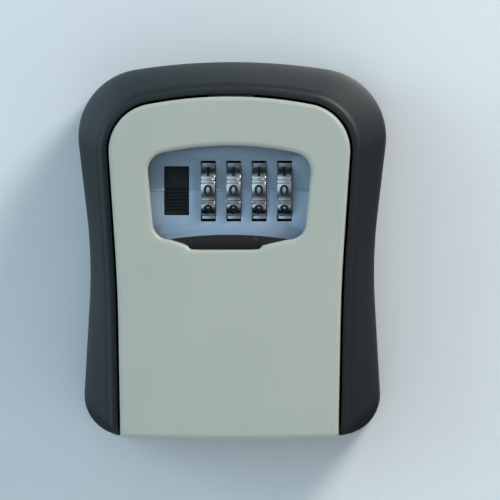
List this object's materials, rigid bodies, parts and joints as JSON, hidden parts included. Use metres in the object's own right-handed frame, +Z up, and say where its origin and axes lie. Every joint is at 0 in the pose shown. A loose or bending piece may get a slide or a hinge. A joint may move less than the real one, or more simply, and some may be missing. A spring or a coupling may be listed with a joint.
{
  "type": "key lock box",
  "caption": "Wall-mounted key lock box: a cast case and charcoal surround behind a bottom-hinged door with number wheels, an opening button and a sliding weather shutter.",
  "frame": {"origin": "on the wall face, at the middle of the four wall screw holes", "axes": "+X to the right seen from the front, +Y into the wall (the door faces -Y), +Z up"},
  "size_m": [0.095, 0.04, 0.1165],
  "materials": {
    "case_black": "satin powder coat over a zinc casting",
    "surround_charcoal": "fine pebble grain, satin",
    "door_sage": "sage grey satin paint over a zinc casting",
    "panel_silver": "silver grey lacquer",
    "wheel_chrome": "plated, with black numbers",
    "button_black": "ribbed, semi-matt",
    "shutter_black": "fine grain",
    "frame_plastic": "moulded",
    "cover_steel": "pressed, zinc plated",
    "zinc_steel": "zinc plated",
    "bright_steel": "ground",
    "spring_steel": "drawn and hardened",
    "cam_brass": "turned",
    "bush_plastic": "acetal"
  },
  "bodies": {
    "case": {"case_shell": "case_black", "surround": "surround_charcoal", "surround_screws": "zinc_steel", "strike_plate": "zinc_steel", "strike_screws": "zinc_steel", "key_hook": "zinc_steel", "hinge_pin": "bright_steel"},
    "door": {"door_shell": "door_sage", "hinge_bushes": "bush_plastic", "guide_rails": "frame_plastic", "dial_panel": "panel_silver", "lock_frame": "frame_plastic", "panel_screws": "zinc_steel", "lock_cover": "cover_steel", "cover_screws": "zinc_steel", "detent_spring": "spring_steel", "button_spring": "spring_steel"},
    "shutter": {"weather_shutter": "shutter_black"},
    "opener": {"open_button": "button_black", "latch_plate": "cover_steel"},
    "code_shifter": {"cam_axle": "bright_steel", "axle_clips": "spring_steel", "change_lever": "cover_steel"},
    "wheel_1": {"number_wheel_1": "wheel_chrome"},
    "cam_1": {"code_cam_1": "cam_brass"},
    "wheel_2": {"number_wheel_2": "wheel_chrome"},
    "cam_2": {"code_cam_2": "cam_brass"},
    "wheel_3": {"number_wheel_3": "wheel_chrome"},
    "cam_3": {"code_cam_3": "cam_brass"},
    "wheel_4": {"number_wheel_4": "wheel_chrome"},
    "cam_4": {"code_cam_4": "cam_brass"}
  },
  "joints": [
    {"name": "door_hinge", "type": "hinge", "parent": "case", "child": "door", "pos_m": [0, -0.0136, -0.0516], "axis": [1, 0, 0], "range_deg": [0, 90]},
    {"name": "shutter_slide", "type": "slide", "parent": "door", "child": "shutter", "axis": [0, 0, 1], "range_m": [0, 0.0275]},
    {"name": "open_button", "type": "slide", "parent": "door", "child": "opener", "axis": [0, 0, -1], "range_m": [0, 0.0045], "stiffness_N_per_m": 400, "springref_m": -0.003, "deforming": ["button_spring"]},
    {"name": "code_lever", "type": "slide", "parent": "door", "child": "code_shifter", "axis": [1, 0, 0], "range_m": [0, 0.0015]},
    {"name": "wheel_1_turn", "type": "hinge", "parent": "door", "child": "wheel_1", "pos_m": [-0.00668, -0.0253, 0.0179], "axis": [1, 0, 0], "continuous": true, "deforming": ["detent_spring"]},
    {"name": "wheel_2_turn", "type": "hinge", "parent": "door", "child": "wheel_2", "pos_m": [0.00117, -0.0253, 0.0179], "axis": [1, 0, 0], "continuous": true},
    {"name": "wheel_3_turn", "type": "hinge", "parent": "door", "child": "wheel_3", "pos_m": [0.00902, -0.0253, 0.0179], "axis": [1, 0, 0], "continuous": true},
    {"name": "wheel_4_turn", "type": "hinge", "parent": "door", "child": "wheel_4", "pos_m": [0.01687, -0.0253, 0.0179], "axis": [1, 0, 0], "continuous": true},
    {"name": "cam_1_turn", "type": "hinge", "parent": "code_shifter", "child": "cam_1", "pos_m": [-0.00353, -0.0253, 0.0179], "axis": [1, 0, 0], "continuous": true},
    {"name": "cam_2_turn", "type": "hinge", "parent": "code_shifter", "child": "cam_2", "pos_m": [0.00432, -0.0253, 0.0179], "axis": [1, 0, 0], "continuous": true},
    {"name": "cam_3_turn", "type": "hinge", "parent": "code_shifter", "child": "cam_3", "pos_m": [0.01217, -0.0253, 0.0179], "axis": [1, 0, 0], "continuous": true},
    {"name": "cam_4_turn", "type": "hinge", "parent": "code_shifter", "child": "cam_4", "pos_m": [0.02002, -0.0253, 0.0179], "axis": [1, 0, 0], "continuous": true}
  ],
  "couplings": [
    {"joint": "cam_1_turn", "follows": "wheel_1_turn", "ratio": 1},
    {"joint": "cam_2_turn", "follows": "wheel_2_turn", "ratio": 1},
    {"joint": "cam_3_turn", "follows": "wheel_3_turn", "ratio": 1},
    {"joint": "cam_4_turn", "follows": "wheel_4_turn", "ratio": 1}
  ]
}
